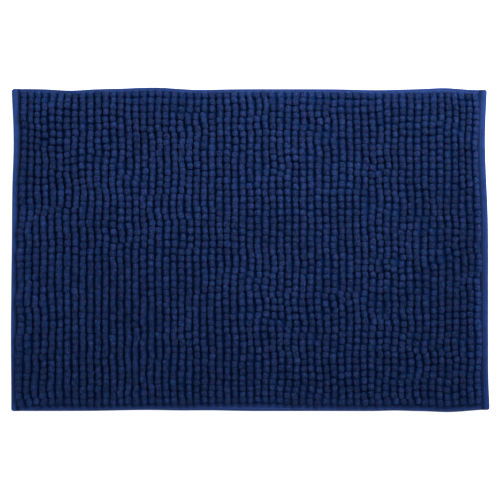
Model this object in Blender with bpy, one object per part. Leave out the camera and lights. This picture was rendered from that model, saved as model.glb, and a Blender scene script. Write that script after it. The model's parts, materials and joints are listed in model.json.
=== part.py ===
"""Bobble bath mat: rows of chenille pile on a hemmed cloth with a non-slip backing.

Frame: metres, +Z up, X along the mat's long side, Y along its short side, and the
origin at the middle of the face that rests on the floor.

Layers, from the floor up: the non-slip backing with the turned-under hems beside it,
the ground cloth that holds the yarn, and the pile, with the upper flaps of the hems
around it. A row is one end of chenille yarn, looped up into a line of bobbles that
runs across the mat. Neighbouring rows share a solid, joined at their feet.
"""

import math

import bmesh
import bpy

# Overall size
MAT_LENGTH = 0.600  # along X, over the side hems
MAT_WIDTH = 0.405  # along Y, over the front and back hems

# Pile
ROW_COUNT = 61  # rows of yarn side by side along X
ROWS_PER_STRIP = 2  # rows that share one solid
PILE_HEIGHT = 0.0112  # loop height above the ground cloth
ROW_GAP = 0.0015  # open valley between neighbouring rows at their widest
YARN_DEPTH = 0.0013  # thickness of the run of yarn that joins the feet
FOOT_SHARE = 0.78  # width of a row's foot as a share of its widest part
BULGE_SHARE = 0.55  # height of the widest part as a share of the loop
END_SLOPE = 0.004  # length over which a row rounds off at each end
END_SHARE = 0.70  # loop height at the very end of a row, as a share
DOME_STEPS = 6  # facets over the round top of a row

# Cloth, backing and hems
CLOTH_THICKNESS = 0.0008
UNDERSIDE_THICKNESS = 0.0012  # the backing, and the turned-under hem level with it
HEM_FLAP_THICKNESS = 0.0014  # upper flap, folded double
HEM_FOLD_WALL = 0.0012  # cloth outside the ground cloth's edge
SIDE_HEM_WIDTH = 0.0095  # left and right hems, upper flap and turned-under flap
END_HEM_WIDTH = 0.0040  # front and back hems, upper flap
END_HEM_TURNED_UNDER = 0.0095  # front and back hems, turned-under flap
HEM_EDGE_RADIUS = 0.0014  # rounding of a hem's outer fold
CORNER_RADIUS = 0.0025  # the mat's corners, seen from above
ROUND_STEPS = 3  # facets in each rounded edge or corner

# Sewing thread
THREAD_WIDTH = 0.0009
THREAD_HEIGHT = 0.0005
THREAD_ROUNDING = 0.00032  # radius along a thread's upper edges
SIDE_SEAM_INSET = 0.0055  # from the mat's edge to the middle of a side seam
END_SEAM_INSET = 0.0025  # the same for the front and back seams
SEAM_END_MARGIN = 0.0040  # from a seam's end to the mat's edge

CLEARANCE = 0.0003  # between pieces that touch
CUT_MARGIN = 0.005  # how far a cutter reaches past what it cuts
SAME_PLACE = 1e-6  # coordinates closer than this are the same

# Heights and half sizes that follow from the values above
CLOTH_BOTTOM = UNDERSIDE_THICKNESS + CLEARANCE
CLOTH_TOP = CLOTH_BOTTOM + CLOTH_THICKNESS
PILE_BOTTOM = CLOTH_TOP + CLEARANCE
HEM_TOP = PILE_BOTTOM + HEM_FLAP_THICKNESS
THREAD_BOTTOM = HEM_TOP + CLEARANCE
HALF_LENGTH = MAT_LENGTH / 2
HALF_WIDTH = MAT_WIDTH / 2
CLOTH_HALF_LENGTH = HALF_LENGTH - HEM_FOLD_WALL - CLEARANCE
CLOTH_HALF_WIDTH = HALF_WIDTH - HEM_FOLD_WALL - CLEARANCE
CLOTH_CORNER_RADIUS = max(CORNER_RADIUS - HEM_FOLD_WALL - CLEARANCE, 0)
FOLD_RADIUS = min(HEM_EDGE_RADIUS, 0.45 * HEM_TOP)  # two of them fit one edge
FIELD_HALF_LENGTH = HALF_LENGTH - SIDE_HEM_WIDTH - CLEARANCE
FIELD_HALF_WIDTH = HALF_WIDTH - END_HEM_WIDTH - CLEARANCE
ROW_PITCH = 2 * FIELD_HALF_LENGTH / ROW_COUNT

# Linear colour, roughness
PILE_FINISH = ((0.010, 0.022, 0.085), 0.95)
CLOTH_FINISH = ((0.012, 0.028, 0.110), 0.90)
HEM_FINISH = ((0.020, 0.055, 0.230), 0.80)
THREAD_FINISH = ((0.022, 0.060, 0.240), 0.60)
BACKING_FINISH = ((0.560, 0.570, 0.560), 0.75)


def clear_scene():
    for item in list(bpy.data.objects):
        bpy.data.objects.remove(item, do_unlink=True)


def give_material(item, finish):
    colour, roughness = finish
    material = bpy.data.materials.new(item.name)
    material.use_nodes = True
    shader = material.node_tree.nodes["Principled BSDF"]
    shader.inputs["Base Color"].default_value = (*colour, 1)
    shader.inputs["Roughness"].default_value = roughness
    shader.inputs["Metallic"].default_value = 0
    item.data.materials.append(material)


def finish_object(name, bm, finish=None):
    """A named object from a bmesh, its faces outwards and its curves shaded smooth."""
    bmesh.ops.recalc_face_normals(bm, faces=bm.faces)
    mesh = bpy.data.meshes.new(name)
    bm.to_mesh(mesh)
    bm.free()
    item = bpy.data.objects.new(name, mesh)
    bpy.context.scene.collection.objects.link(item)
    if finish is not None:
        mesh.shade_smooth()
        mesh.set_sharp_from_angle(angle=math.radians(40))
        give_material(item, finish)
    return item


def box_mesh(low, high):
    """A box between two corners."""
    bm = bmesh.new()
    bmesh.ops.create_cube(bm, size=1)
    for v in bm.verts:
        v.co = [high[i] if v.co[i] > 0 else low[i] for i in range(3)]
    return bm


def centred_box(half_x, half_y, bottom, top):
    return box_mesh((-half_x, -half_y, bottom), (half_x, half_y, top))


def is_upright(edge):
    return abs(edge.verts[0].co.z - edge.verts[1].co.z) > SAME_PLACE


def lies_at(edge, axis, place):
    """True if both ends of an edge have this coordinate."""
    return all(abs(v.co[axis] - place) < SAME_PLACE for v in edge.verts)


def round_off(bm, edges, radius, steps=ROUND_STEPS):
    bmesh.ops.bevel(
        bm, geom=edges, offset=radius, segments=steps, profile=0.5, affect="EDGES"
    )


def rounded_sheet(half_x, half_y, radius, bottom, top):
    """A flat sheet with round corners."""
    bm = centred_box(half_x, half_y, bottom, top)
    if radius > 0:
        round_off(bm, [e for e in bm.edges if is_upright(e)], radius)
    return bm


def cutter(name, bm):
    item = finish_object(name, bm)
    item.hide_render = True
    item.display_type = "WIRE"
    return item


def cut_away(item, tool):
    cut = item.modifiers.new("cut_" + tool.name, "BOOLEAN")
    cut.operation = "DIFFERENCE"
    cut.solver = "EXACT"
    cut.object = tool


def row_outline(centre, width):
    """One row's section over its foot, (x, z) from its right side to its left."""
    foot = width * FOOT_SHARE / 2
    bulge = width / 2
    bulge_z = PILE_BOTTOM + PILE_HEIGHT * BULGE_SHARE
    dome = PILE_BOTTOM + PILE_HEIGHT - bulge_z
    points = [(centre + foot, PILE_BOTTOM + YARN_DEPTH)]
    for step in range(DOME_STEPS + 1):
        angle = math.pi * step / DOME_STEPS
        points.append((centre + bulge * math.cos(angle), bulge_z + dome * math.sin(angle)))
    points.append((centre - foot, PILE_BOTTOM + YARN_DEPTH))
    return points


def strip_outline(centres, width):
    """The section through neighbouring rows and the run of yarn under them."""
    foot = width * FOOT_SHARE / 2
    points = [(min(centres) - foot, PILE_BOTTOM), (max(centres) + foot, PILE_BOTTOM)]
    for centre in sorted(centres, reverse=True):
        points += row_outline(centre, width)
    return points


def pile_strip(numbers):
    """The rows with these numbers, lofted along Y and lower at both ends."""
    centres = [-FIELD_HALF_LENGTH + (number - 0.5) * ROW_PITCH for number in numbers]
    outline = strip_outline(centres, ROW_PITCH - ROW_GAP)
    yarn_top = PILE_BOTTOM + YARN_DEPTH
    slope_start = FIELD_HALF_WIDTH - END_SLOPE
    sections = (
        (-FIELD_HALF_WIDTH, END_SHARE),
        (-slope_start, 1),
        (slope_start, 1),
        (FIELD_HALF_WIDTH, END_SHARE),
    )
    bm = bmesh.new()
    rings = []
    for y, share in sections:
        ring = []
        for x, z in outline:
            height = yarn_top + (z - yarn_top) * share if z > yarn_top else z
            ring.append(bm.verts.new((x, y, height)))
        rings.append(ring)
    for near, far in zip(rings, rings[1:]):
        for i in range(len(outline)):
            j = (i + 1) % len(outline)
            bm.faces.new((near[i], near[j], far[j], far[i]))
    bm.faces.new(rings[0])
    bm.faces.new(rings[-1])
    word = "pile_rows_" if len(centres) > 1 else "pile_row_"
    name = word + "_".join(f"{number:02d}" for number in numbers)
    return finish_object(name, bm, PILE_FINISH)


def pile():
    for first in range(1, ROW_COUNT + 1, ROWS_PER_STRIP):
        pile_strip(range(first, min(first + ROWS_PER_STRIP, ROW_COUNT + 1)))


def ground_cloth():
    bm = rounded_sheet(
        CLOTH_HALF_LENGTH, CLOTH_HALF_WIDTH, CLOTH_CORNER_RADIUS, CLOTH_BOTTOM, CLOTH_TOP
    )
    return finish_object("ground_cloth", bm, CLOTH_FINISH)


def non_slip_backing():
    """The rubbery coat under the cloth, inside the turned-under hems."""
    half_width = HALF_WIDTH - END_HEM_TURNED_UNDER - CLEARANCE
    bm = centred_box(FIELD_HALF_LENGTH, half_width, 0, UNDERSIDE_THICKNESS)
    return finish_object("non_slip_backing", bm, BACKING_FINISH)


def cloth_space():
    """The room that the ground cloth's edge takes inside the hems."""
    return cutter(
        "cloth_space",
        rounded_sheet(
            CLOTH_HALF_LENGTH + CLEARANCE,
            CLOTH_HALF_WIDTH + CLEARANCE,
            CLOTH_CORNER_RADIUS + CLEARANCE,
            CLOTH_BOTTOM - CLEARANCE,
            CLOTH_TOP + CLEARANCE,
        ),
    )


def pile_space():
    """The room over the cloth that the front and back hems leave to the pile."""
    return cutter(
        "pile_space",
        centred_box(
            HALF_LENGTH + CUT_MARGIN,
            HALF_WIDTH - END_HEM_WIDTH,
            CLOTH_TOP,
            HEM_TOP + CUT_MARGIN,
        ),
    )


def side_hem(name, side, slot):
    """A hem over a whole short side, round at its two corners. side is -1 or 1."""
    edge = side * HALF_LENGTH
    inner = side * (HALF_LENGTH - SIDE_HEM_WIDTH)
    bm = box_mesh(
        (min(edge, inner), -HALF_WIDTH, 0), (max(edge, inner), HALF_WIDTH, HEM_TOP)
    )
    round_off(bm, [e for e in bm.edges if is_upright(e) and lies_at(e, 0, edge)], CORNER_RADIUS)
    folds = [e for e in bm.edges if not is_upright(e) and not lies_at(e, 0, inner)]
    round_off(bm, folds, FOLD_RADIUS)
    item = finish_object(name, bm, HEM_FINISH)
    cut_away(item, slot)
    return item


def end_hem(name, side, slot, room):
    """A hem along a long side, between the side hems. side is -1 or 1."""
    edge = side * HALF_WIDTH
    inner = side * (HALF_WIDTH - END_HEM_TURNED_UNDER)
    bm = box_mesh(
        (-FIELD_HALF_LENGTH, min(edge, inner), 0), (FIELD_HALF_LENGTH, max(edge, inner), HEM_TOP)
    )
    ends = (-FIELD_HALF_LENGTH, FIELD_HALF_LENGTH)
    folds = [
        e
        for e in bm.edges
        if lies_at(e, 1, edge) and not any(lies_at(e, 0, x) for x in ends)
    ]
    round_off(bm, folds, FOLD_RADIUS)
    item = finish_object(name, bm, HEM_FINISH)
    cut_away(item, slot)
    cut_away(item, room)
    return item


def seam_thread(name, middle, half_x, half_y):
    """A line of sewing thread on a hem, flat below and round above."""
    x, y = middle
    top = THREAD_BOTTOM + THREAD_HEIGHT
    bm = box_mesh(
        (x - half_x, y - half_y, THREAD_BOTTOM),
        (x + half_x, y + half_y, top),
    )
    round_off(bm, [e for e in bm.edges if lies_at(e, 2, top)], THREAD_ROUNDING, steps=2)
    return finish_object(name, bm, THREAD_FINISH)


def hems_and_seams():
    slot = cloth_space()
    room = pile_space()
    half_thread = THREAD_WIDTH / 2
    for word, side in (("left", -1), ("right", 1)):
        side_hem("hem_" + word, side, slot)
        middle = (side * (HALF_LENGTH - SIDE_SEAM_INSET), 0)
        half_run = HALF_WIDTH - SEAM_END_MARGIN
        seam_thread("seam_thread_" + word, middle, half_thread, half_run)
    for word, side in (("front", -1), ("back", 1)):
        end_hem("hem_" + word, side, slot, room)
        middle = (0, side * (HALF_WIDTH - END_SEAM_INSET))
        seam_thread("seam_thread_" + word, middle, FIELD_HALF_LENGTH, half_thread)


def main():
    clear_scene()
    pile()
    ground_cloth()
    non_slip_backing()
    hems_and_seams()


main()
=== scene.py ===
"""The finished bobble bath mat: chenille rows, hems, seams, ground cloth and backing.

Metres, +Z up, X along the mat's long side and Y along the rows of pile. Everything is
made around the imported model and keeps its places. Each operator makes one kind of
piece, and main() runs them in order.
"""

import json
import math
import re

import bmesh
import bpy
import numpy as np
from bpy.props import FloatProperty, FloatVectorProperty, IntProperty, PointerProperty
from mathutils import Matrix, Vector

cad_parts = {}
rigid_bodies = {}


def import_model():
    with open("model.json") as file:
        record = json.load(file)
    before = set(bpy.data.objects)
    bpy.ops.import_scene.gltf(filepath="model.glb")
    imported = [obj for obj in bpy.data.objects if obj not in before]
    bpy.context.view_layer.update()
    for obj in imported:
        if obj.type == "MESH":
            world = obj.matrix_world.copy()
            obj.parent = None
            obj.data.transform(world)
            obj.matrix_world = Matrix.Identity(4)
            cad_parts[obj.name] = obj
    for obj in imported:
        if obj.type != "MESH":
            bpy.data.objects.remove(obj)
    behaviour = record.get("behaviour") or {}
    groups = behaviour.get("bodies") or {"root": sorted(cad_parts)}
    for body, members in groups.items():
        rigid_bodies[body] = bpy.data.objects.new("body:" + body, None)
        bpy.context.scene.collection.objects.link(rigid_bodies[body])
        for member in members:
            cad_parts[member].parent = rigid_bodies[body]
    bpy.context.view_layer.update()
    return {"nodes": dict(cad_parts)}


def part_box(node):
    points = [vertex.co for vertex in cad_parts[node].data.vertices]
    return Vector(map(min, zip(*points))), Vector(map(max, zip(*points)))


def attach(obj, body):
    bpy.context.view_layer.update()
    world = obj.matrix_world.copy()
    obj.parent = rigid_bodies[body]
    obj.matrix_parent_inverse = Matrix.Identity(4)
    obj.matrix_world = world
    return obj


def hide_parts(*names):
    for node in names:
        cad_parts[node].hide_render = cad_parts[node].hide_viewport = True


bl_info = {
    "name": "Bobble Bath Mat",
    "version": (1, 0, 0),
    "blender": (4, 5, 0),
    "location": "View3D > Sidebar > Bath Mat",
    "description": "Makes a hemmed bath mat with rows of chenille bobbles",
    "category": "Add Mesh",
}

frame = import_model()

MM = 0.001
BODY = "root"
PILE_NODES = sorted(n for n in frame["nodes"] if n.startswith("pile_"))
HALF_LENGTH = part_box("hem_right")[1].x
HALF_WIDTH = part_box("hem_right")[1].y
CLOTH_LOW, CLOTH_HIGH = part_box("ground_cloth")
PILE_LOW, PILE_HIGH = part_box(PILE_NODES[-1])
SIDE_HEM_WIDTH = HALF_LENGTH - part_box("hem_right")[0].x
HEM_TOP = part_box("hem_right")[1].z
FIELD_HALF_WIDTH = PILE_HIGH.y
CLEARANCE = 0.3 * MM  # between pieces that touch


def row_numbers(node):
    return [int(word) for word in re.findall(r"\d+", node)]


def width_of(node):
    low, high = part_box(node)
    return high.x - low.x


def row_measures():
    """Pitch from row to row and the middle of row 1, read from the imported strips."""
    single = next(n for n in PILE_NODES if len(row_numbers(n)) == 1)
    pair = next(n for n in PILE_NODES if len(row_numbers(n)) == 2)
    pitch = width_of(pair) - width_of(single)
    first = min(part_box(n)[0].x for n in PILE_NODES) + width_of(single) / 2
    return pitch, first


ROW_PITCH, FIRST_ROW = row_measures()


# ---------------------------------------------------------------- settings


def length_setting(name, description, default):
    return FloatProperty(name=name, description=description, default=default, unit="LENGTH")


def colour_setting(name, description, default):
    return FloatVectorProperty(
        name=name, description=description, default=default, subtype="COLOR"
    )


class PileSettings(bpy.types.PropertyGroup):
    """Sizes and colours of the chenille bobbles, with painted bounce light at their foot and
    painted sheen on their tips
    """

    bobbles: IntProperty(
        name="Bobbles per row", description="Loops of yarn along each row", default=48, min=2
    )
    width: length_setting("Bobble width", "Across the rows", 7.9 * MM)
    overlap: length_setting(
        "Squeeze", "How much longer a bobble is than its share of the row", 2.9 * MM
    )
    wander: length_setting("Wander", "How far a row drifts sideways", 1.6 * MM)
    unevenness: FloatProperty(
        name="Unevenness",
        description="Spread of the bobbles' sizes",
        default=0.11,
        min=0,
        max=0.5,
    )
    lumps: length_setting("Lumps", "Depth of the clumps in the yarn's surface", 0.9 * MM)
    # Painted bounce light: the foot colour is brighter and bluer than the sides' colour
    painted_hollow: colour_setting("Deep colour", "Yarn at the foot of the pile", (0.0002, 0.0540, 0.2620))
    body: colour_setting("Body colour", "Yarn on the bobbles' sides", (0.0006, 0.0180, 0.1030))
    # Painted sheen: the tip colour is lighter and greyer than the sides' colour
    sheen_tip: colour_setting("Tip colour", "Brushed fibre tips on the bobbles", (0.0140, 0.0300, 0.1090))


class ClothSettings(bpy.types.PropertyGroup):
    """Colours of the hems, threads and ground cloth, the hems' painted shade, and the stitches'
    size
    """

    hem: colour_setting("Hem colour", "Smooth cloth of the hems", (0.0120, 0.0420, 0.1820))
    # Painted shade: the hems' colour where shade falls, in the seam's dip, on the flap under the
    # leaning pile and between the rows' ends
    crease_shade: colour_setting(
        "Crease colour",
        "Hem cloth where it dips at the seam and runs under the pile",
        (0.0020, 0.0120, 0.0620),
    )
    ground: colour_setting("Ground colour", "Cloth between the rows", (0.0006, 0.0250, 0.1300))
    thread: colour_setting("Thread colour", "Sewing thread", (0.0130, 0.0360, 0.1400))
    stitch: length_setting("Stitch length", "From needle hole to hole", 3.2 * MM)
    stitch_radius: length_setting("Thread radius", "Half the thread's width", 0.42 * MM)


class BackingSettings(bpy.types.PropertyGroup):
    """Relief and colour of the non-slip coat"""

    relief: length_setting("Relief", "Height of the ribs over the yarn's back-stitches", 0.45 * MM)
    latex: colour_setting("Latex colour", "Non-slip coat", (0.56, 0.58, 0.58))


class StageSettings(bpy.types.PropertyGroup):
    """Camera and light"""

    camera_height: length_setting("Camera height", "Above the floor", 1.35)
    shown_width: length_setting("Shown width", "Width of floor that the picture takes in", 0.6295)
    sky: FloatProperty(name="Sky", description="Strength of the even light", default=0.64)
    key: FloatProperty(
        name="Key", description="Power of the slanting light", default=3.75, unit="POWER"
    )


# ---------------------------------------------------------------- how the mat lies

# Waves of the four edges: (place along the edge, how far out, half length of the wave)
BACK_WAVES = (
    (-0.226, -1.9 * MM, 0.017),
    (-0.120, 1.8 * MM, 0.026),
    (-0.068, -1.1 * MM, 0.024),
    (0.160, -1.2 * MM, 0.026),
    (0.243, 1.2 * MM, 0.015),
    (0.290, -1.2 * MM, 0.018),
)
FRONT_WAVES = (
    (-0.130, -1.3 * MM, 0.034),
    (-0.050, -0.9 * MM, 0.024),
    (0.182, -0.7 * MM, 0.013),
    (0.248, 1.3 * MM, 0.015),
    (0.297, -1.7 * MM, 0.015),
)
LEFT_WAVES = (
    (0.138, -3.0 * MM, 0.038),
    (0.030, -0.8 * MM, 0.050),
    (-0.118, 0.4 * MM, 0.028),
)
RIGHT_WAVES = (
    (0.138, -4.4 * MM, 0.056),
    (-0.203, 1.3 * MM, 0.020),
    (-0.100, -0.9 * MM, 0.070),
)
LIFTS = (  # places where an edge stands off the floor: x, y, height, radius
    (-0.300, 0.170, 1.0 * MM, 0.050),
    (-0.120, 0.205, 1.6 * MM, 0.045),
    (0.243, 0.205, 1.3 * MM, 0.036),
    (0.303, -0.110, 1.2 * MM, 0.050),
    (0.190, -0.205, 1.1 * MM, 0.040),
    (-0.060, -0.205, 1.2 * MM, 0.050),
    (-0.303, -0.060, 1.1 * MM, 0.050),
)
EDGE_REACH = 0.060  # how far in from an edge its waves die out
# Places where a hem lies wider than elsewhere, as waves of its seam
BACK_SPREAD = ((0.245, 2.0 * MM, 0.040),)
FRONT_SPREAD = ((0.0, 3.0 * MM, 0.055),)
LEFT_SPREAD = ((0.145, 1.7 * MM, 0.060),)
RIGHT_SPREAD = ((0.150, 0.8 * MM, 0.050), (-0.040, 0.6 * MM, 0.070))
SPREAD_FROM = 6 * MM  # distance in from an edge at which the spread is full
SPREAD_REACH = 0.040
LEFT_LEAN = ((-0.170, 3.0 * MM, 0.085), (0.010, 1.5 * MM, 0.055))
RIGHT_LEAN = ((-0.100, 0.6 * MM, 0.050), (0.125, 0.4 * MM, 0.040))
LEAN_REACH = 0.110  # how far in from a side the leaning of the rows dies out


def bell(place, middle, width):
    return np.exp(-0.5 * ((place - middle) / width) ** 2)


def wave(place, waves):
    return sum(out * bell(place, middle, width) for middle, out, width in waves)


def fade(distance, reach):
    """1 at an edge and 0 from reach inwards, smoothly."""
    share = np.clip(1 - distance / reach, 0, 1)
    return share * share * (3 - 2 * share)


def spread(distance, place, waves):
    """How far a wider hem pushes points inwards, none at the very edge."""
    share = np.clip(distance / SPREAD_FROM, 0, 1) * fade(distance - SPREAD_FROM, SPREAD_REACH)
    return wave(place, waves) * share


EDGES = (  # axis across the edge, side, waves of the edge and of its seam
    (0, 1, RIGHT_WAVES, RIGHT_SPREAD),
    (0, -1, LEFT_WAVES, LEFT_SPREAD),
    (1, 1, BACK_WAVES, BACK_SPREAD),
    (1, -1, FRONT_WAVES, FRONT_SPREAD),
)


def settle(points):
    """Moves points from the true rectangle to how the mat lies, edges wavy."""
    placed = points.copy()
    for axis, side, waves, seam_waves in EDGES:
        along = points[:, 1 - axis]
        inward = (HALF_LENGTH, HALF_WIDTH)[axis] - side * points[:, axis]
        placed[:, axis] += side * wave(along, waves) * fade(inward, EDGE_REACH)
        placed[:, axis] -= side * spread(inward, along, seam_waves)
    x, y = points.T[:2]
    for at_x, at_y, height, radius in LIFTS:
        placed[:, 2] += height * bell(np.hypot(x - at_x, y - at_y), 0, radius)
    return placed


def lean(points):
    """Tips the outer rows of pile over the side hems, their feet staying put."""
    x, y, z = points.T
    placed = points.copy()
    share = np.clip((z - PILE_LOW.z) / (0.6 * (PILE_HIGH.z - PILE_LOW.z)), 0, 1)
    placed[:, 0] += share * wave(y, RIGHT_LEAN) * fade(HALF_LENGTH - x, LEAN_REACH)
    placed[:, 0] -= share * wave(y, LEFT_LEAN) * fade(HALF_LENGTH + x, LEAN_REACH)
    return placed


def read_points(mesh):
    points = np.empty(len(mesh.vertices) * 3)
    mesh.vertices.foreach_get("co", points)
    return points.reshape(-1, 3)


def write_points(mesh, points):
    mesh.vertices.foreach_set("co", points.ravel())
    mesh.update()


# ---------------------------------------------------------------- objects and trees


def link(name, mesh):
    item = bpy.data.objects.new(name, mesh)
    bpy.context.scene.collection.objects.link(item)
    return item


def finish_piece(item, node):
    """Attaches a piece to the body and hides the CAD node that it stands for."""
    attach(item, BODY)
    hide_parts(node)


def piece_from(bm, name, material):
    """A piece from a bmesh, faces outwards, shaded smooth and settled on the floor."""
    bmesh.ops.recalc_face_normals(bm, faces=bm.faces)
    mesh = bpy.data.meshes.new(name)
    bm.to_mesh(mesh)
    bm.free()
    write_points(mesh, settle(read_points(mesh)))
    mesh.shade_smooth()
    mesh.materials.append(material)
    return link(name, mesh)


def add_node(tree, kind, inputs=None, **fields):
    """Adds a node, sets its fields, and gives its inputs numbers or other sockets."""
    node = tree.nodes.new(kind)
    for name, value in fields.items():
        setattr(node, name, value)
    for key, value in (inputs or {}).items():
        if isinstance(key, int):
            socket = node.inputs[key]
        else:
            socket = next(s for s in node.inputs if s.name == key and s.enabled)
        if isinstance(value, bpy.types.NodeSocket):
            tree.links.new(value, socket)
        else:
            socket.default_value = value
    return node


def out(node, name=None):
    """A node's output by name, or its first one in use."""
    return next(s for s in node.outputs if s.enabled and name in (None, s.name))


def calc(tree, operation, *values):
    node = add_node(tree, "ShaderNodeMath", dict(enumerate(values)), operation=operation)
    return out(node)


def product(tree, value, *others):
    """Values multiplied one after another."""
    for other in others:
        value = calc(tree, "MULTIPLY", value, other)
    return value


def vector_calc(tree, operation, *values):
    node = add_node(tree, "ShaderNodeVectorMath", dict(enumerate(values)), operation=operation)
    return out(node)


def scaled(tree, value, factor):
    inputs = {"Vector": value, "Scale": factor}
    return out(add_node(tree, "ShaderNodeVectorMath", inputs, operation="SCALE"))


def vector(tree, x=0.0, y=0.0, z=0.0):
    return out(add_node(tree, "ShaderNodeCombineXYZ", {"X": x, "Y": y, "Z": z}))


def split(tree, value):
    """The X, Y and Z of a vector."""
    return add_node(tree, "ShaderNodeSeparateXYZ", {0: value}).outputs


def field(tree, kind):
    """What each point knows of itself, such as its Position, Normal or Index."""
    return out(tree.nodes.new("GeometryNodeInput" + kind))


def moved(tree, geometry, where, how="Offset"):
    """Moves points by an Offset, or to a Position."""
    inputs = {"Geometry": geometry, how: where}
    return out(add_node(tree, "GeometryNodeSetPosition", inputs))


def stored(tree, geometry, name, value, domain):
    """Keeps a number on the geometry as an attribute."""
    inputs = {"Geometry": geometry, "Name": name, "Value": value}
    kind = "GeometryNodeStoreNamedAttribute"
    return out(add_node(tree, kind, inputs, data_type="FLOAT", domain=domain))


def random_number(tree, low, high, seed):
    inputs = {"Min": low, "Max": high, "Seed": seed}
    return out(add_node(tree, "FunctionNodeRandomValue", inputs, data_type="FLOAT"))


def random_turn(tree, most, seed):
    """A rotation of up to these angles either way."""
    inputs = {"Min": [-angle for angle in most], "Max": most, "Seed": seed}
    return out(add_node(tree, "FunctionNodeRandomValue", inputs, data_type="FLOAT_VECTOR"))


def copies(tree, points, shape, turn, size):
    """A turned and scaled copy of a shape on each point."""
    inputs = {"Points": points, "Instance": shape, "Rotation": turn, "Scale": size}
    return out(add_node(tree, "GeometryNodeInstanceOnPoints", inputs))


def realized(tree, geometry):
    return out(add_node(tree, "GeometryNodeRealizeInstances", {"Geometry": geometry}))


def geometry_tree(name, **inputs):
    """A Geometry Nodes tree with named inputs, listed by their kind."""
    tree = bpy.data.node_groups.new(name, "GeometryNodeTree")
    for kind, labels in inputs.items():
        for label in labels:
            tree.interface.new_socket(label, in_out="INPUT", socket_type="NodeSocket" + kind)
    tree.interface.new_socket("Geometry", in_out="OUTPUT", socket_type="NodeSocketGeometry")
    source = tree.nodes.new("NodeGroupInput")
    return tree, {s.name: s for s in source.outputs}


def end_tree(tree, geometry, material):
    """Ends a tree in smooth shading and Set Material."""
    smooth = add_node(tree, "GeometryNodeSetShadeSmooth", {"Geometry": geometry})
    dressed = add_node(
        tree, "GeometryNodeSetMaterial", {"Geometry": out(smooth), "Material": material}
    )
    sink = tree.nodes.new("NodeGroupOutput")
    tree.links.new(out(dressed), sink.inputs[0])


def grow(name, tree, values):
    """Runs a tree with these input values and returns its result as a plain mesh."""
    holder = link(name + "_holder", bpy.data.meshes.new(name))
    modifier = holder.modifiers.new("nodes", "NODES")
    modifier.node_group = tree
    for item in tree.interface.items_tree:
        if item.item_type == "SOCKET" and item.in_out == "INPUT":
            modifier[item.identifier] = values[item.name]
    depsgraph = bpy.context.evaluated_depsgraph_get()
    mesh = bpy.data.meshes.new_from_object(holder.evaluated_get(depsgraph), depsgraph=depsgraph)
    mesh.name = name
    bpy.data.objects.remove(holder)
    return mesh


# ---------------------------------------------------------------- materials


def group_tree(name, inputs):
    """A shader node group with named inputs, given with their defaults."""
    tree = bpy.data.node_groups.new(name, "ShaderNodeTree")
    for label, default in inputs.items():
        socket = tree.interface.new_socket(label, in_out="INPUT", socket_type="NodeSocketFloat")
        socket.default_value = default
    source = tree.nodes.new("NodeGroupInput")
    return tree, {s.name: s for s in source.outputs}


def end_group(tree, **outputs):
    """Ends a shader node group in named outputs."""
    for label in outputs:
        tree.interface.new_socket(label, in_out="OUTPUT", socket_type="NodeSocketFloat")
    sink = tree.nodes.new("NodeGroupOutput")
    for label, socket in outputs.items():
        tree.links.new(socket, sink.inputs[label])
    return tree


def object_place(tree):
    return out(add_node(tree, "ShaderNodeTexCoord"), "Object")


def read_attribute(tree, name):
    return out(add_node(tree, "ShaderNodeAttribute", attribute_name=name), "Fac")


def noise(tree, place, scale, detail, roughness):
    inputs = {"Vector": place, "Scale": scale, "Detail": detail, "Roughness": roughness}
    return out(add_node(tree, "ShaderNodeTexNoise", inputs), "Fac")


def mix_colour(tree, factor, first, second, blend="MIX"):
    inputs = {"Factor": factor, "A": first, "B": second}
    return out(add_node(tree, "ShaderNodeMix", inputs, data_type="RGBA", blend_type=blend))


def remap(tree, value, low, high, to_low=0.0, to_high=1.0):
    """Leads low to high smoothly over to to_low to to_high, and stays level outside."""
    inputs = {"Value": value, "From Min": low, "From Max": high}
    inputs |= {"To Min": to_low, "To Max": to_high}
    return out(add_node(tree, "ShaderNodeMapRange", inputs, interpolation_type="SMOOTHSTEP"))


def fibre_group():
    """Short tangled fibres: a height for bump and a mask of clumps."""
    tree, given = group_tree("fibre", {"Clump Scale": 500.0, "Fibre Scale": 1600.0})
    place = object_place(tree)
    clumps = noise(tree, place, given["Clump Scale"], 2.0, 0.5)
    fibres = noise(tree, place, given["Fibre Scale"], 3.0, 0.65)
    height = calc(tree, "ADD", clumps, calc(tree, "MULTIPLY", fibres, 0.5))
    return end_group(tree, Height=height, Clumps=clumps)


def tuft_group():
    """Short brushed tufts packed side by side.

    Depth is 1 on a tuft and 0 between tufts, and Each is a number of the tuft's own.
    """
    tree, given = group_tree("tufts", {"Tufts per Metre": 800.0, "Tangle": 0.7})
    place = object_place(tree)
    inputs = {"Vector": place, "Scale": 900.0, "Detail": 1.0}
    swirl = add_node(tree, "ShaderNodeTexNoise", inputs)
    bend = vector_calc(tree, "SUBTRACT", out(swirl, "Color"), (0.5, 0.5, 0.5))
    bent = scaled(tree, bend, calc(tree, "DIVIDE", given["Tangle"], given["Tufts per Metre"]))
    inputs = {"Vector": vector_calc(tree, "ADD", place, bent), "Scale": given["Tufts per Metre"]}
    cells = add_node(tree, "ShaderNodeTexVoronoi", inputs)
    dome = remap(tree, out(cells, "Distance"), 0.75, 0.15)
    fibres = noise(tree, place, 2600.0, 1.0, 0.6)
    each = split(tree, out(cells, "Color"))["X"]
    height = calc(tree, "MULTIPLY_ADD", fibres, 0.45, dome)
    return end_group(tree, Height=height, Depth=dome, Each=each)


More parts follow.
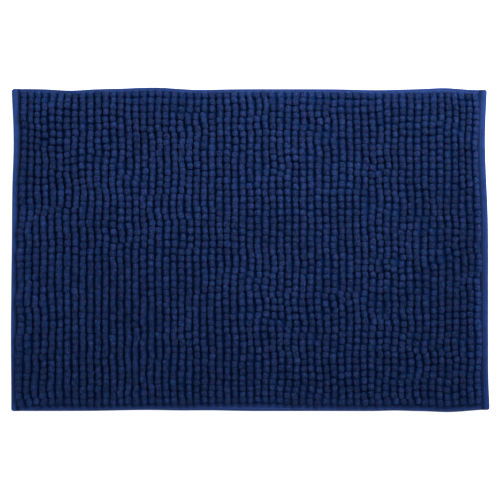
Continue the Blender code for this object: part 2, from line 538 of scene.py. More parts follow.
def weave_group():
    """A plain weave seen square on: over and under threads along X and Y."""
    tree, given = group_tree("weave", {"Threads per Metre": 1100.0})
    place = split(tree, object_place(tree))
    turn = calc(tree, "MULTIPLY", given["Threads per Metre"], math.pi)
    along = calc(tree, "SINE", calc(tree, "MULTIPLY", place["X"], turn))
    across = calc(tree, "SINE", calc(tree, "MULTIPLY", place["Y"], turn))
    crossing = calc(tree, "MULTIPLY", along, across)
    mask = calc(tree, "MULTIPLY_ADD", crossing, 0.5, 0.5)
    return end_group(tree, Height=crossing, Mask=mask)


GROUPS = {"fibre": fibre_group, "tufts": tuft_group, "weave": weave_group}


def set_inputs(node, values):
    for name, value in values.items():
        node.inputs[name].default_value = value


def new_material(name, roughness, sheen=0.0, tint=(1, 1, 1), specular=0.5):
    material = bpy.data.materials.new(name)
    material.use_nodes = True
    shader = material.node_tree.nodes["Principled BSDF"]
    looks = {"Roughness": roughness, "Specular IOR Level": specular}
    looks |= {"Sheen Weight": sheen, "Sheen Roughness": 0.4, "Sheen Tint": (*tint, 1)}
    set_inputs(shader, looks)
    return material, material.node_tree, shader


def use_group(tree, name, values):
    """Places a shared node group in a material, built when it is first used."""
    node = tree.nodes.new("ShaderNodeGroup")
    node.node_tree = bpy.data.node_groups.get(name) or GROUPS[name]()
    set_inputs(node, values)
    return node


def add_bump(tree, shader, height, strength, distance):
    inputs = {"Height": height, "Strength": strength, "Distance": distance}
    bump = add_node(tree, "ShaderNodeBump", inputs)
    tree.links.new(out(bump, "Normal"), shader.inputs["Normal"])


def rgba(colour):
    return (*colour, 1)


def chenille_material(settings):
    """Velvety yarn: brighter and bluer at its foot as painted bounce light, lighter at the brushed
    tips as painted sheen, with painted shade between its tufts, mottled.
    """
    material, tree, shader = new_material(
        "chenille", 1.0, sheen=0.05, tint=(0.30, 0.45, 1.0), specular=0.08
    )
    place = object_place(tree)
    pile = use_group(tree, "tufts", {"Tufts per Metre": 760.0, "Tangle": 0.9})
    fuzz = use_group(tree, "fibre", {"Clump Scale": 330.0, "Fibre Scale": 1300.0})
    shift = calc(tree, "MULTIPLY_ADD", out(fuzz, "Clumps"), 0.9, -0.45)
    rise = calc(tree, "ADD", read_attribute(tree, "rise"), shift)
    # Painted light: rise leads from the foot's painted bounce light over the sides to the tips'
    # painted sheen
    sides = remap(tree, rise, -0.4, 0.7)
    tips = remap(tree, rise, 0.30, 1.05)
    colour = mix_colour(tree, sides, rgba(settings.painted_hollow), rgba(settings.body))
    colour = mix_colour(tree, tips, colour, rgba(settings.sheen_tip))
    # Painted light is in this attribute as well: lighter on the last rows on the right
    tone_and_edge_light = calc(tree, "MULTIPLY_ADD", read_attribute(tree, "tone_and_edge_light"), 0.36, 0.82)
    patches = remap(tree, noise(tree, place, 9.0, 2.0, 0.5), 0.3, 0.7, 0.92, 1.08)
    clumps = remap(tree, out(fuzz, "Clumps"), 0.3, 0.7, 0.85, 1.15)
    # Painted shade: darker between the tufts
    crevice_shade = remap(tree, out(pile, "Depth"), 0.0, 0.9, 0.45, 1.28)
    each = calc(tree, "MULTIPLY_ADD", out(pile, "Each"), 0.60, 0.70)
    shade = product(tree, tone_and_edge_light, patches, clumps, crevice_shade, each)
    hue = remap(tree, noise(tree, place, 170.0, 1.0, 0.5), 0.35, 0.65)
    cool_or_warm = mix_colour(tree, hue, (0.80, 1.08, 1.0, 1), (1.25, 0.93, 1.0, 1))
    colour = mix_colour(tree, 1.0, colour, cool_or_warm, "MULTIPLY")
    tree.links.new(scaled(tree, colour, shade), shader.inputs["Base Color"])
    add_bump(tree, shader, out(pile, "Height"), 0.9, 0.55 * MM)
    return material


def cloth_material(name, colour, threads, roughness, sheen, painted_hollow=None):
    """Plain-woven cloth, with painted shade a little darker between its threads, and faintly
    patchy.

    Where painted_hollow is given, it is a painted shade colour, and the attribute "painted_light"
    leads from it to colour.
    """
    material, tree, shader = new_material(
        name, roughness, sheen=sheen, tint=(0.4, 0.55, 1.0), specular=0.15
    )
    weave = use_group(tree, "weave", {"Threads per Metre": threads})
    fuzz = use_group(tree, "fibre", {"Clump Scale": 130.0, "Fibre Scale": 1800.0})
    patches = remap(tree, out(fuzz, "Clumps"), 0.3, 0.7, 0.86, 1.12)
    # Painted shade: a little darker between the threads
    between = remap(tree, out(weave, "Mask"), 0, 1, 0.86, 1.06)
    base = colour
    if painted_hollow is not None:
        base = mix_colour(tree, read_attribute(tree, "painted_light"), rgba(painted_hollow), rgba(colour))
    shade = calc(tree, "MULTIPLY", patches, between)
    tree.links.new(scaled(tree, base, shade), shader.inputs["Base Color"])
    relief = calc(tree, "ADD", out(weave, "Height"), out(fuzz, "Height"))
    add_bump(tree, shader, relief, 0.35, 0.15 * MM)
    return material


def thread_material(settings):
    """Twisted sewing thread with a slight gloss."""
    material, tree, shader = new_material("sewing_thread", 0.55, sheen=0.1, specular=0.4)
    fuzz = use_group(tree, "fibre", {"Clump Scale": 900.0, "Fibre Scale": 2600.0})
    shade = remap(tree, out(fuzz, "Clumps"), 0.3, 0.7, 0.8, 1.15)
    tree.links.new(scaled(tree, settings.thread, shade), shader.inputs["Base Color"])
    add_bump(tree, shader, out(fuzz, "Height"), 0.4, 0.12 * MM)
    return material


def latex_material(settings, cloth):
    """Pale rubbery coat, bluish where the yarn's back-stitches show through."""
    material, tree, shader = new_material("latex_coat", 0.62, specular=0.45)
    skin = use_group(tree, "fibre", {"Clump Scale": 260.0, "Fibre Scale": 1200.0})
    ribs = calc(tree, "MULTIPLY_ADD", read_attribute(tree, "rib"), 0.26, 0.05)
    patchy = calc(tree, "MULTIPLY", ribs, remap(tree, out(skin, "Clumps"), 0.25, 0.75, 0.5, 1.5))
    stain = tuple(2.5 * c for c in cloth.hem)
    colour = mix_colour(tree, patchy, rgba(settings.latex), rgba(stain))
    tree.links.new(colour, shader.inputs["Base Color"])
    add_bump(tree, shader, out(skin, "Height"), 0.5, 0.15 * MM)
    return material


def floor_material():
    material, tree, shader = new_material("pale_floor", 0.9, specular=0.0)
    speck = noise(tree, object_place(tree), 3.0, 2.0, 0.5)
    colour = mix_colour(tree, speck, (0.95, 0.95, 0.95, 1), (0.97, 0.97, 0.97, 1))
    tree.links.new(colour, shader.inputs["Base Color"])
    set_inputs(shader, {"Emission Color": (1, 1, 1, 1), "Emission Strength": FLOOR_GLOW})
    return material


# ---------------------------------------------------------------- pile


BOBBLE_POWER = 2.35  # 2 makes a ball, and more makes a rounded block
FRONT_MARGIN = 8.8 * MM  # from the middle of a row's end bobble to the end of the field
BACK_MARGIN = 4.2 * MM
COMBED_PLACE = (-0.24, -0.17, 0.0)  # where the bobbles run together into smooth cords
COMBED_REACH = 0.32
EDGE_LIGHT_FROM = HALF_LENGTH - 24 * MM  # painted light: the last rows on the right are coloured lighter
EDGE_LIGHT_REACH = 15 * MM


def superellipse(tree, place, power):
    """Pushes a unit sphere's points out towards a rounded box."""
    sizes = [
        calc(tree, "POWER", calc(tree, "ABSOLUTE", part), power) for part in split(tree, place)
    ]
    total = calc(tree, "ADD", calc(tree, "ADD", sizes[0], sizes[1]), sizes[2])
    length = calc(tree, "POWER", total, 1 / power)
    return scaled(tree, place, calc(tree, "DIVIDE", 1.0, length))


def bobble_shape(tree):
    """One loop of yarn, two units across: a rounded block, pinched at its foot.

    Its attribute "rise" runs from -1 at the foot to 1 on top.
    """
    grid = {"Size": (2, 2, 2), "Vertices X": 5, "Vertices Y": 5, "Vertices Z": 4}
    cube = add_node(tree, "GeometryNodeMeshCube", grid)
    place = field(tree, "Position")
    x, y, z = split(tree, superellipse(tree, place, BOBBLE_POWER))
    pinch = remap(tree, z, -1.0, 0.15, 0.62, 1.0)
    shape = vector(tree, product(tree, x, pinch), product(tree, y, pinch), z)
    shaped = moved(tree, out(cube, "Mesh"), shape, "Position")
    return stored(tree, shaped, "rise", split(tree, place)["Z"], "POINT")


def drift(tree, place, scales, amount, sharpness=1.0):
    """Noise from -amount to amount, stretched by scales along X and Y."""
    stretched = vector_calc(tree, "MULTIPLY", place, (*scales, 1.0))
    value = noise(tree, stretched, 1.0, 2.0, 0.5)
    half = 0.22 / sharpness
    return product(tree, remap(tree, value, 0.5 - half, 0.5 + half, -1.0, 1.0), amount)


def bobble_tree():
    """Rows of bobbles side by side, each row drifting a little."""
    tree, given = geometry_tree(
        "bobble_rows",
        Int=("Rows", "Bobbles", "Seed"),
        Float=(
            *("First Row", "First Bobble", "Row Pitch", "Bobble Pitch", "Foot", "Height"),
            *("Width", "Length", "Wander", "Unevenness", "Lumps"),
            *("Combed Reach", "Edge Light From"),
        ),
        Vector=("Combed Place",),
        Material=("Material",),
    )
    seed, pitch, height = (given[name] for name in ("Seed", "Bobble Pitch", "Height"))
    count = given["Bobbles"]

    # A point for each bobble, row after row
    index = field(tree, "Index")
    row = calc(tree, "FLOOR", calc(tree, "DIVIDE", calc(tree, "ADD", index, 0.5), count))
    step = calc(tree, "SUBTRACT", index, product(tree, row, count))
    total = {"Count": product(tree, given["Rows"], count)}
    line = add_node(tree, "GeometryNodeMeshLine", total, mode="OFFSET")
    spot = vector(
        tree,
        calc(tree, "MULTIPLY_ADD", row, given["Row Pitch"], given["First Row"]),
        calc(tree, "MULTIPLY_ADD", step, pitch, given["First Bobble"]),
        calc(tree, "MULTIPLY_ADD", height, 0.5, given["Foot"]),
    )
    lined = moved(tree, out(line), spot, "Position")

    # Sideways the rows drift together, and each a little alone. Along a row the bobbles
    # slip, except at its ends.
    place = field(tree, "Position")
    patches = remap(tree, noise(tree, place, 7.0, 1.0, 0.5), 0.35, 0.65, 0.35, 1.15)
    wander = product(tree, given["Wander"], patches)
    together = drift(tree, place, (11.0, 27.0), wander, 1.8)
    alone = drift(tree, place, (105.0, 30.0), product(tree, wander, 0.4))
    slow_slip = drift(tree, place, (10.0, 9.0), product(tree, pitch, 0.35))
    quick_slip = drift(tree, place, (75.0, 14.0), product(tree, pitch, 0.24))
    slip = calc(tree, "ADD", slow_slip, quick_slip)
    slide = calc(tree, "MULTIPLY_ADD", random_number(tree, -0.07, 0.07, seed), pitch, slip)
    to_last = calc(tree, "SUBTRACT", calc(tree, "SUBTRACT", count, 1.0), step)
    from_end = calc(tree, "MINIMUM", calc(tree, "ADD", step, 0.8), to_last)
    inner = remap(tree, from_end, -0.6, 2.4)
    offset = vector(tree, calc(tree, "ADD", together, alone), product(tree, slide, inner))
    strewn = moved(tree, lined, offset)

    def uneven(extra):
        low = calc(tree, "SUBTRACT", 1.0, given["Unevenness"])
        high = calc(tree, "ADD", 1.0, given["Unevenness"])
        return random_number(tree, low, high, calc(tree, "ADD", seed, extra))

    # Combed bobbles are narrower and longer, and a row is lower at its ends
    away = vector_calc(tree, "DISTANCE", place, given["Combed Place"])
    combed = remap(tree, calc(tree, "DIVIDE", away, given["Combed Reach"]), 1.0, 0.2)
    narrower = calc(tree, "MULTIPLY_ADD", combed, -0.07, 1.02)
    longer = calc(tree, "MULTIPLY_ADD", combed, 0.14, 0.91)
    share = calc(tree, "MULTIPLY_ADD", inner, 0.38, 0.62)
    tall = random_number(tree, 0.93, 1.03, calc(tree, "ADD", seed, 3.0))
    size = vector(
        tree,
        product(tree, given["Width"], 0.5, narrower, uneven(1.0)),
        product(tree, given["Length"], 0.5, longer, uneven(2.0)),
        product(tree, height, 0.5, product(tree, share, tall)),
    )
    sunk = product(tree, height, -0.5, calc(tree, "SUBTRACT", 1.0, share))
    lowered = moved(tree, strewn, vector(tree, z=sunk))
    tilt = random_turn(tree, (0.14, 0.20, 0.22), seed)
    planted = copies(tree, lowered, bobble_shape(tree), tilt, size)

    # Painted light: the last rows on the right are made lighter, on top of each bobble's random
    # number
    past = calc(tree, "SUBTRACT", split(tree, place)["X"], given["Edge Light From"])
    painted_edge_light = remap(tree, past, 0.0, EDGE_LIGHT_REACH, 0.0, 1.5)
    plain = random_number(tree, 0.0, 1.0, calc(tree, "ADD", seed, 4.0))
    toned = stored(tree, planted, "tone_and_edge_light", calc(tree, "ADD", plain, painted_edge_light), "INSTANCE")

    real = realized(tree, toned)
    bumps = calc(tree, "SUBTRACT", noise(tree, field(tree, "Position"), 330.0, 2.0, 0.6), 0.5)
    depth = product(tree, bumps, product(tree, given["Lumps"], 2.0))
    lumpy = moved(tree, real, scaled(tree, field(tree, "Normal"), depth))
    end_tree(tree, lumpy, given["Material"])
    return tree


class MAT_OT_pile(bpy.types.Operator):
    """Makes the rows of chenille bobbles, one piece for each strip of the frame"""

    bl_idname = "bath_mat.pile"
    bl_label = "Pile"

    def execute(self, context):
        settings = context.scene.bath_mat_pile
        material = chenille_material(settings)
        tree = bobble_tree()
        first = -FIELD_HALF_WIDTH + FRONT_MARGIN
        last = FIELD_HALF_WIDTH - BACK_MARGIN
        pitch = (last - first) / (settings.bobbles - 1)
        for node in PILE_NODES:
            numbers = row_numbers(node)
            name = node.replace("pile_", "bobbles_")
            values = {
                "Rows": len(numbers),
                "Bobbles": settings.bobbles,
                "First Row": FIRST_ROW + (numbers[0] - 1) * ROW_PITCH,
                "First Bobble": first,
                "Row Pitch": ROW_PITCH,
                "Bobble Pitch": pitch,
                "Foot": PILE_LOW.z,
                "Height": PILE_HIGH.z - PILE_LOW.z,
                "Width": settings.width,
                "Length": pitch + settings.overlap,
                "Wander": settings.wander,
                "Unevenness": settings.unevenness,
                "Lumps": settings.lumps,
                "Combed Place": COMBED_PLACE,
                "Combed Reach": COMBED_REACH,
                "Edge Light From": EDGE_LIGHT_FROM,
                "Seed": 11 * numbers[0],
                "Material": material,
            }
            mesh = grow(name, tree, values)
            write_points(mesh, settle(lean(read_points(mesh))))
            finish_piece(link(name, mesh), node)
        return {"FINISHED"}


# ---------------------------------------------------------------- cloth and backing


CLOTH_STEP = 6 * MM  # grid of the ground cloth
BACKING_STEP = 3 * MM  # grid of the backing along the rows
RIB_LINES = 6  # grid lines of the backing for each row
BACK_STITCH = 8.2 * MM  # from knot to knot of yarn under the backing


def slab(x_lines, y_lines, top, bottom):
    """A closed slab on a grid. top and bottom give the height at arrays x and y."""
    x, y = np.meshgrid(x_lines, y_lines, indexing="ij")
    bm = bmesh.new()

    def layer(heights):
        return [
            [bm.verts.new((x[i, j], y[i, j], heights[i, j])) for j in range(x.shape[1])]
            for i in range(x.shape[0])
        ]

    upper = layer(np.broadcast_to(top(x, y), x.shape))
    lower = layer(np.broadcast_to(bottom(x, y), x.shape))
    columns, lines = x.shape
    for i in range(columns - 1):
        for j in range(lines - 1):
            bm.faces.new((upper[i][j], upper[i + 1][j], upper[i + 1][j + 1], upper[i][j + 1]))
            bm.faces.new((lower[i][j], lower[i][j + 1], lower[i + 1][j + 1], lower[i + 1][j]))
    rim = (
        [(i, 0) for i in range(columns)]
        + [(columns - 1, j) for j in range(1, lines)]
        + [(i, lines - 1) for i in range(columns - 2, -1, -1)]
        + [(0, j) for j in range(lines - 2, 0, -1)]
    )
    for (i, j), (k, m) in zip(rim, rim[1:] + rim[:1]):
        bm.faces.new((upper[i][j], lower[i][j], lower[k][m], upper[k][m]))
    return bm


def spaced(half, step):
    count = max(2, round(2 * half / step) + 1)
    return np.linspace(-half, half, count)


class MAT_OT_ground_cloth(bpy.types.Operator):
    """Makes the woven cloth that carries the rows"""

    bl_idname = "bath_mat.ground_cloth"
    bl_label = "Ground Cloth"

    def execute(self, context):
        settings = context.scene.bath_mat_cloth
        material = cloth_material(
            "ground_weave", settings.ground, threads=800.0, roughness=0.95, sheen=0.05
        )
        bm = slab(
            spaced(CLOTH_HIGH.x, CLOTH_STEP),
            spaced(CLOTH_HIGH.y, CLOTH_STEP),
            lambda x, y: CLOTH_HIGH.z,
            lambda x, y: CLOTH_LOW.z,
        )
        piece = piece_from(bm, "woven_ground_cloth", material)
        finish_piece(piece, "ground_cloth")
        return {"FINISHED"}


class MAT_OT_backing(bpy.types.Operator):
    """Makes the latex coat, ribbed where it covers the yarn's back-stitches"""

    bl_idname = "bath_mat.backing"
    bl_label = "Non-slip Backing"

    def execute(self, context):
        settings = context.scene.bath_mat_backing
        low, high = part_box("non_slip_backing")

        def ribs(x, y):
            row = (x - FIRST_ROW) / ROW_PITCH
            rib = np.clip(np.cos(2 * np.pi * row) * 0.9 + 0.35, 0, 1)
            knot = 0.75 + 0.25 * np.cos(2 * np.pi * (y / BACK_STITCH + 0.5 * np.round(row)))
            return rib * knot

        def underside(x, y):
            return low.z + settings.relief * (1 - ribs(x, y))

        bm = slab(
            spaced(high.x, ROW_PITCH / RIB_LINES),
            spaced(high.y, BACKING_STEP),
            lambda x, y: high.z,
            underside,
        )
        material = latex_material(settings, context.scene.bath_mat_cloth)
        rib = bm.verts.layers.float.new("rib")
        for vert in bm.verts:
            vert[rib] = float(ribs(vert.co.x, vert.co.y))
        piece = piece_from(bm, "ribbed_latex_coat", material)
        finish_piece(piece, "non_slip_backing")
        return {"FINISHED"}


# ---------------------------------------------------------------- hems

FOLD_STEPS = 8  # facets round a hem's outer fold
FOLD_RADIUS = 1.5 * MM
FOLD_WALL = 1.15 * MM  # cloth outside the ground cloth's edge
FOLD_FADE = 1.6 * MM  # width over which a side hem's painted shade deepens at its seam
SLOT_ROOM = 0.2 * MM  # over and under the ground cloth inside a hem
SLOT = slice(-5, -1)  # the points of a hem's section that make the slot for the cloth
FLAP_LEVEL = 3.0 * MM  # height of a hem's flap inside the seam
SIDE_ROLL = 1.5 * MM  # how much a side hem's puffy fold stands above its flap
END_ROLL = 0.7 * MM  # the same on the flatter front and back hems
GROOVE = 0.35 * MM  # how deep the seam pulls into the flap
GROOVE_WIDTH = 0.6 * MM
NOTCH = 0.4 * MM  # how deep it pulls into the underside
NOTCH_WIDTH = 0.7 * MM
CORNER_RADIUS = 3.0 * MM  # roundness of the mat's corners
STATION_STEP = 1.6 * MM  # from ring to ring along a hem
# Rings at a side hem's rounded ends: distance from the end, share of the hem's height
END_RINGS = (
    (0.0, 0.55),
    (0.35 * MM, 0.80),
    (0.9 * MM, 0.93),
    (1.25 * MM, 0.97),
    (1.8 * MM, 0.99),
    (3.0 * MM, 1.0),
)
SHUT_END = 1.0 * MM  # the slot is shut this far from a rounded end
PUCKER = 0.30 * MM  # height of the slow puckers in the side hems
GATHER = 1.1 * MM  # height of the gathers where rows run into a hem

SIDE_HEMS = {"left": (-1, 0.7), "right": (1, 2.9)}  # side, phase of the puckers
# Side, phase of the puckers, how much further in the flap reaches than in the frame, its slope,
# its painted light (darker on the front, as painted shade), and the share of its width painted
# bright
END_HEMS = {
    "front": (-1, 1.3, 4.0 * MM, 0.6 * MM, 0.74, 0.45),
    "back": (1, 4.0, 1.3 * MM, 2.6 * MM, 1.0, 0.7),
}


def seam_inset(node):
    """How far in from its edge of the mat a seam's middle runs."""
    low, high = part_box(node)
    if high.y - low.y > high.x - low.x:
        return HALF_LENGTH - abs(low.x + high.x) / 2
    return HALF_WIDTH - abs(low.y + high.y) / 2


SIDE_SEAM = seam_inset("seam_thread_left")
END_SEAM = seam_inset("seam_thread_front")


def flap_height(inward, seam, puff):
    """Height of a hem's upper face this far in from the edge."""
    roll = puff / (1 + np.exp((inward - 0.86 * seam) / (0.07 * seam)))
    return FLAP_LEVEL + roll - GROOVE * bell(inward, seam, GROOVE_WIDTH)


def hem_section(width, under, seam, puff):
    """A folded hem's section, (inward from the edge, height), as one closed outline."""
    slot_low = CLOTH_LOW.z - SLOT_ROOM
    slot_high = CLOTH_HIGH.z + SLOT_ROOM
    inward = np.linspace(width, FOLD_RADIUS, 12)
    points = [(u, flap_height(u, seam, puff)) for u in inward]
    middle = points[-1][1] / 2
    for step in range(1, FOLD_STEPS):
        angle = math.pi * step / FOLD_STEPS
        points.append((FOLD_RADIUS * (1 - math.sin(angle)), middle + middle * math.cos(angle)))
    points += [(FOLD_RADIUS, 0.0), (seam - NOTCH_WIDTH, 0.0), (seam, NOTCH)]
    points += [(seam + NOTCH_WIDTH, 0.0), (under, 0.0), (under, slot_low - 0.1 * MM)]
    points += [(under * 0.5, slot_low), (FOLD_WALL, slot_low), (FOLD_WALL, slot_high)]
    points += [(width * 0.5, slot_high), (width, slot_high)]
    return np.array(points)


def corner_inset(from_end):
    """How far a rounded corner pulls the edge in, this far from the hem's end."""
    short = np.clip(CORNER_RADIUS - from_end, 0, CORNER_RADIUS)
    return CORNER_RADIUS - math.sqrt(CORNER_RADIUS**2 - short**2)


def hem_rings(start, end, rounded):
    """Places of the rings along a hem, and the share of its height that each has."""
    places = list(np.linspace(start, end, round(abs(end - start) / STATION_STEP) + 1))
    if not rounded:
        return places, [1.0] * len(places)
    turns, shares = zip(*END_RINGS)
    reach = turns[-1] + 1.0 * MM
    between = [place for place in places if start + reach < place < end - reach]
    near = [start + turn for turn in turns]
    far = [end - turn for turn in reversed(turns)]
    return near + between + far, [*shares, *[1.0] * len(between), *reversed(shares)]


def sweep_hem(section, edge, side, ruffle, bright, blend):
    """Sweeps a section along an edge: the axis across it, its start and its end.

    The side hems are rounded at their ends. The attribute "painted_light" is 1 as far in as
    bright, times the ruffle's painted shade, and fades to 0 over a width of blend: 0 is full
    painted shade.
    """
    axis, start, end = edge
    half = (HALF_LENGTH, HALF_WIDTH)[axis]
    rounded = axis == 0
    bm = bmesh.new()
    painted_light = bm.verts.layers.float.new("painted_light")
    painted_lit_share = fade(section[:, 0] - bright, blend)
    rings = []
    middle = HEM_TOP / 2
    for along, share in zip(*hem_rings(start, end, rounded)):
        inward, height = section.T.copy()
        height = middle + (height - middle) * share
        if rounded:
            from_end = min(along - start, end - along)
            if from_end < SHUT_END:
                inward[SLOT] = SIDE_HEM_WIDTH - 0.02 * (SIDE_HEM_WIDTH - inward[SLOT])
            inward += corner_inset(from_end) * np.clip(1 - inward / SIDE_HEM_WIDTH, 0, 1)
        lift, push, shade = ruffle(along, inward)
        upper = np.clip((height - middle) / middle, 0, 1)
        height += lift * upper
        inward += push * upper
        places = np.full((len(inward), 3), along)
        places[:, axis] = side * (half - inward)
        places[:, 2] = height
        rings.append([bm.verts.new(place) for place in places])
        for vert, light in zip(rings[-1], painted_lit_share * shade):
            vert[painted_light] = light
    for near, far in zip(rings, rings[1:]):
        for i in range(len(near)):
            j = (i + 1) % len(near)
            bm.faces.new((near[i], near[j], far[j], far[i]))
    bm.faces.new(rings[0])
    bm.faces.new(rings[-1])
    return bm


def side_ruffle(phase):
    """Slow puckers along a side hem, as (lift, push inwards, shade)."""

    def ruffle(along, inward):
        slow = math.sin(along / (23 * MM) + phase) + 0.6 * math.sin(along / (9.1 * MM) + 2 * phase)
        inside = np.clip(inward / SIDE_HEM_WIDTH, 0, 1)
        return PUCKER * slow * (1 - 0.4 * inside), 0.12 * MM * slow * (1 - inside), 1.0

    return ruffle


def end_ruffle(phase, width, slope, light):
    """Small gathers, one for each row of pile that runs into the hem, and a slope. Its shade is
    painted: darker between the rows' ends near the inner edge, and scaled by light.
    """

    def ruffle(along, inward):
        rows = math.cos(2 * math.pi * (along - FIRST_ROW) / ROW_PITCH)
        slow = math.sin(along / (31 * MM) + phase)
        inside = np.clip((inward / width - 0.35) / 0.65, 0, 1)
        lift = (slope + GATHER * rows) * inside + 0.2 * MM * slow
        return lift, 0.1 * MM * slow * (1 - inside), light * (1 - 0.5 * (1 - rows) * inside**0.5)

    return ruffle


class MAT_OT_hems(bpy.types.Operator):
    """Makes the four folded hems"""

    bl_idname = "bath_mat.hems"
    bl_label = "Hems"

    def execute(self, context):
        settings = context.scene.bath_mat_cloth
        # The hem cloth carries painted shade: its painted shade colour inside the seams and between
        # the rows' ends
        material = cloth_material(
            "hem_weave",
            settings.hem,
            threads=700.0,
            roughness=0.85,
            sheen=0.06,
            painted_hollow=settings.crease_shade,
        )
        section = hem_section(SIDE_HEM_WIDTH, SIDE_HEM_WIDTH, SIDE_SEAM, SIDE_ROLL)
        edge = (0, -HALF_WIDTH, HALF_WIDTH)
        # Painted shade inside the seam: the side hems are painted bright only out to here
        bright = SIDE_SEAM - 0.3 * MM
        sweeps = {
            word: (section, edge, side, side_ruffle(phase), bright, FOLD_FADE)
            for word, (side, phase) in SIDE_HEMS.items()
        }
        low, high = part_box("hem_front")
        edge = (1, low.x, high.x)
        for word, (side, phase, extra, slope, light, bright_share) in END_HEMS.items():
            width = HALF_WIDTH - FIELD_HALF_WIDTH - CLEARANCE + extra
            section = hem_section(width, high.y - low.y, END_SEAM, END_ROLL)
            ruffle = end_ruffle(phase, width, slope, light)
            bright, blend = bright_share * width, (1 - bright_share) * width
            sweeps[word] = (section, edge, side, ruffle, bright, blend)
        for word, values in sweeps.items():
            piece = piece_from(sweep_hem(*values), "folded_hem_" + word, material)
            finish_piece(piece, "hem_" + word)
        return {"FINISHED"}


# ---------------------------------------------------------------- seams


def stitch_tree():
    """A row of stitches from Start along Step, with a second row Drop below it."""
    tree, given = geometry_tree(
        "stitches",
        Int=("Count", "Seed"),
        Vector=("Start", "Step", "Drop", "Stitch"),
        Material=("Material",),
    )
    run = {"Count": given["Count"], "Start Location": given["Start"], "Offset": given["Step"]}
    line = add_node(tree, "GeometryNodeMeshLine", run, mode="OFFSET")
    shift = {"Geometry": out(line), "Translation": given["Drop"]}
    below = add_node(tree, "GeometryNodeTransform", shift)
    both = tree.nodes.new("GeometryNodeJoinGeometry")
    for row in (line, below):
        tree.links.new(out(row), both.inputs[0])
    ball = add_node(tree, "GeometryNodeMeshUVSphere", {"Segments": 8, "Rings": 6, "Radius": 1.0})
    turn = random_turn(tree, (0.0, 0.0, 0.10), given["Seed"])
    sewn = copies(tree, out(both), out(ball, "Mesh"), turn, given["Stitch"])
    end_tree(tree, realized(tree, sewn), given["Material"])
    return tree


class MAT_OT_seams(bpy.types.Operator):
    """Makes the lockstitches that hold the hems"""

    bl_idname = "bath_mat.seams"
    bl_label = "Seams"

    def execute(self, context):
        settings = context.scene.bath_mat_cloth
        material = thread_material(settings)
        tree = stitch_tree()
        radius = settings.stitch_radius
        half = settings.stitch * 0.46
        sides = (1, SIDE_SEAM, SIDE_ROLL)
        ends = (0, END_SEAM, END_ROLL)
        runs = {"left": sides, "right": sides, "front": ends, "back": ends}
        for number, (word, (axis, seam, puff)) in enumerate(runs.items()):
            node = "seam_thread_" + word
            low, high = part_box(node)
            count = int((high[axis] - low[axis]) / settings.stitch)
            middle = (low + high) / 2
            start = [middle.x, middle.y, flap_height(seam, seam, puff) + 0.3 * radius]
            start[axis] -= (count - 1) / 2 * settings.stitch
            step = [0.0, 0.0, 0.0]
            step[axis] = settings.stitch
            size = [radius, radius, radius]
            size[axis] = half
            values = {
                "Count": count,
                "Start": start,
                "Step": step,
                "Drop": (0, 0, radius - start[2]),
                "Stitch": size,
                "Seed": 5 + number,
                "Material": material,
            }
            mesh = grow("stitches_" + word, tree, values)
            write_points(mesh, settle(read_points(mesh)))
            finish_piece(link("stitches_" + word, mesh), node)
        return {"FINISHED"}


# ---------------------------------------------------------------- stage


FLOOR_HALF = 40.0
FLOOR_GLOW = 0.6  # keeps the floor white beside the mat
LAMP_PLACE = (0.34, 0.56, 0.74)
LAMP_AIM = (0.0, 0.25, 0.0)
LAMP_SIZE = 0.5
LAMP_SPREAD = math.radians(90)


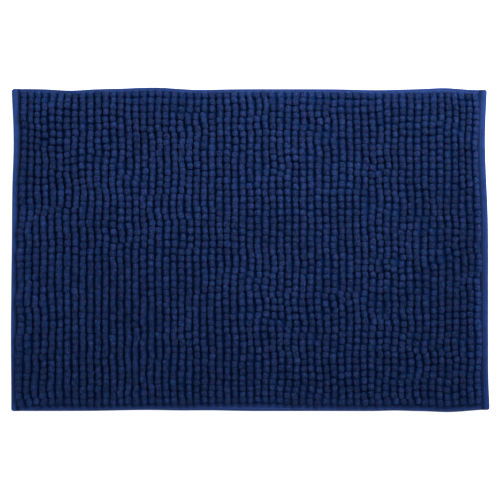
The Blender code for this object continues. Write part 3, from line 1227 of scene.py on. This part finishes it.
class MAT_OT_stage(bpy.types.Operator):
    """Makes the floor, the light and the camera straight above the mat"""

    bl_idname = "bath_mat.stage"
    bl_label = "Stage"

    def execute(self, context):
        settings = context.scene.bath_mat_stage
        scene = context.scene
        scene.view_settings.view_transform = "Standard"
        floor = bpy.data.meshes.new("floor")
        turns = ((-1, -1), (1, -1), (1, 1), (-1, 1))
        corners = [(FLOOR_HALF * x, FLOOR_HALF * y, 0) for x, y in turns]
        floor.from_pydata(corners, [], [(0, 1, 2, 3)])
        floor.materials.append(floor_material())
        link("floor", floor)

        world = bpy.data.worlds.new("studio")
        world.use_nodes = True
        sky = world.node_tree.nodes["Background"]
        sky.inputs["Color"].default_value = (1, 1, 1, 1)
        seen = out(world.node_tree.nodes.new("ShaderNodeLightPath"), "Is Camera Ray")
        strength = calc(world.node_tree, "MAXIMUM", seen, settings.sky)
        world.node_tree.links.new(strength, sky.inputs["Strength"])
        scene.world = world

        light = bpy.data.lights.new("key", "AREA")
        light.energy = settings.key
        light.size = LAMP_SIZE
        light.spread = LAMP_SPREAD
        lamp = bpy.data.objects.new("key", light)
        lamp.location = LAMP_PLACE
        aim = Vector(LAMP_AIM) - lamp.location
        lamp.rotation_euler = aim.to_track_quat("-Z", "Y").to_euler()
        lamp.visible_camera = False
        scene.collection.objects.link(lamp)

        lens = bpy.data.cameras.new("camera")
        lens.lens = lens.sensor_width * settings.camera_height / settings.shown_width
        camera = bpy.data.objects.new("camera", lens)
        camera.location = (0, 0, settings.camera_height)
        scene.collection.objects.link(camera)
        scene.camera = camera
        return {"FINISHED"}


# ---------------------------------------------------------------- panel and running


class MAT_PT_panel(bpy.types.Panel):
    """Lists the steps that make the mat"""

    bl_label = "Bath Mat"
    bl_idname = "MAT_PT_bath_mat"
    bl_space_type = "VIEW_3D"
    bl_region_type = "UI"
    bl_category = "Bath Mat"

    def draw(self, context):
        for operator in OPERATORS:
            self.layout.operator(operator.bl_idname)
        for name, group in SETTINGS.items():
            box = self.layout.box()
            for setting in group.__annotations__:
                box.prop(getattr(context.scene, name), setting)


SETTINGS = {
    "bath_mat_pile": PileSettings,
    "bath_mat_cloth": ClothSettings,
    "bath_mat_backing": BackingSettings,
    "bath_mat_stage": StageSettings,
}
OPERATORS = (
    MAT_OT_stage,
    MAT_OT_backing,
    MAT_OT_ground_cloth,
    MAT_OT_hems,
    MAT_OT_seams,
    MAT_OT_pile,
)
CLASSES = (*SETTINGS.values(), *OPERATORS, MAT_PT_panel)


def register():
    for item in CLASSES:
        bpy.utils.register_class(item)
    for name, group in SETTINGS.items():
        setattr(bpy.types.Scene, name, PointerProperty(type=group))


def unregister():
    for name in SETTINGS:
        delattr(bpy.types.Scene, name)
    for item in reversed(CLASSES):
        bpy.utils.unregister_class(item)


def main():
    register()
    for item in list(bpy.data.objects):
        if item.type in {"LIGHT", "CAMERA"}:
            bpy.data.objects.remove(item)
    for operator in OPERATORS:
        group, name = operator.bl_idname.split(".")
        getattr(getattr(bpy.ops, group), name)()


if __name__ == "__main__":
    main()
